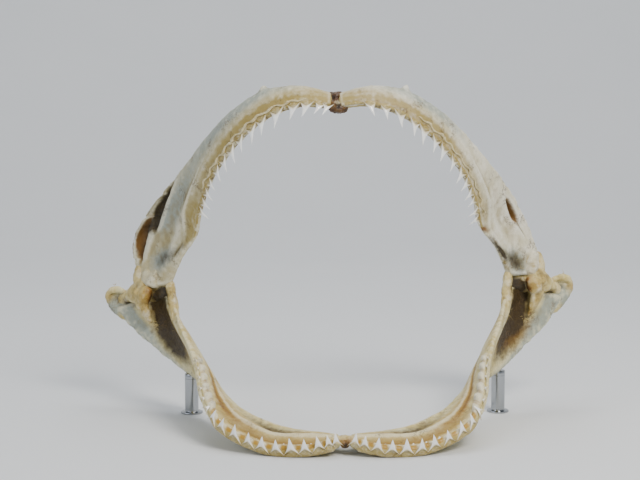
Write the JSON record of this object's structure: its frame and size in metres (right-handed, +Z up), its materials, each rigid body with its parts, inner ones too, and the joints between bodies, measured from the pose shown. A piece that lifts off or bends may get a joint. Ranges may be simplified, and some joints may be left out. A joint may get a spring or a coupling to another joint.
{
  "type": "shark jaw",
  "caption": "Dried requiem-shark jaws held open as a museum mount: four toothed cartilages joined at hinges and midline, carried by the front lip and two short steel posts.",
  "frame": {"origin": "middle of the whole mount's footprint, on the surface it stands on", "axes": "+X across the jaws, towards the right as seen from the front; +Y from the front lip back to the hinges; +Z up"},
  "size_m": [0.305, 0.161, 0.2072],
  "materials": {
    "cartilage": "dried, bleached shark cartilage, satin, stained in places",
    "tooth_band": "glossy white teeth in a dried yellow gum band",
    "ligament": "dried yellow-brown ligament",
    "membrane": "dried translucent brown connective tissue",
    "steel": "polished stainless steel"
  },
  "bodies": {
    "root": {"lower_jaw_left": "cartilage", "upper_jaw_left": "cartilage", "tooth_band_lower_left": "tooth_band", "tooth_band_upper_left": "tooth_band", "joint_ligament_left": "ligament", "stand_post_left": "steel", "lower_jaw_right": "cartilage", "upper_jaw_right": "cartilage", "tooth_band_lower_right": "tooth_band", "tooth_band_upper_right": "tooth_band", "joint_ligament_right": "ligament", "stand_post_right": "steel", "symphysis_upper": "membrane", "symphysis_lower": "membrane"}
  },
  "joints": []
}
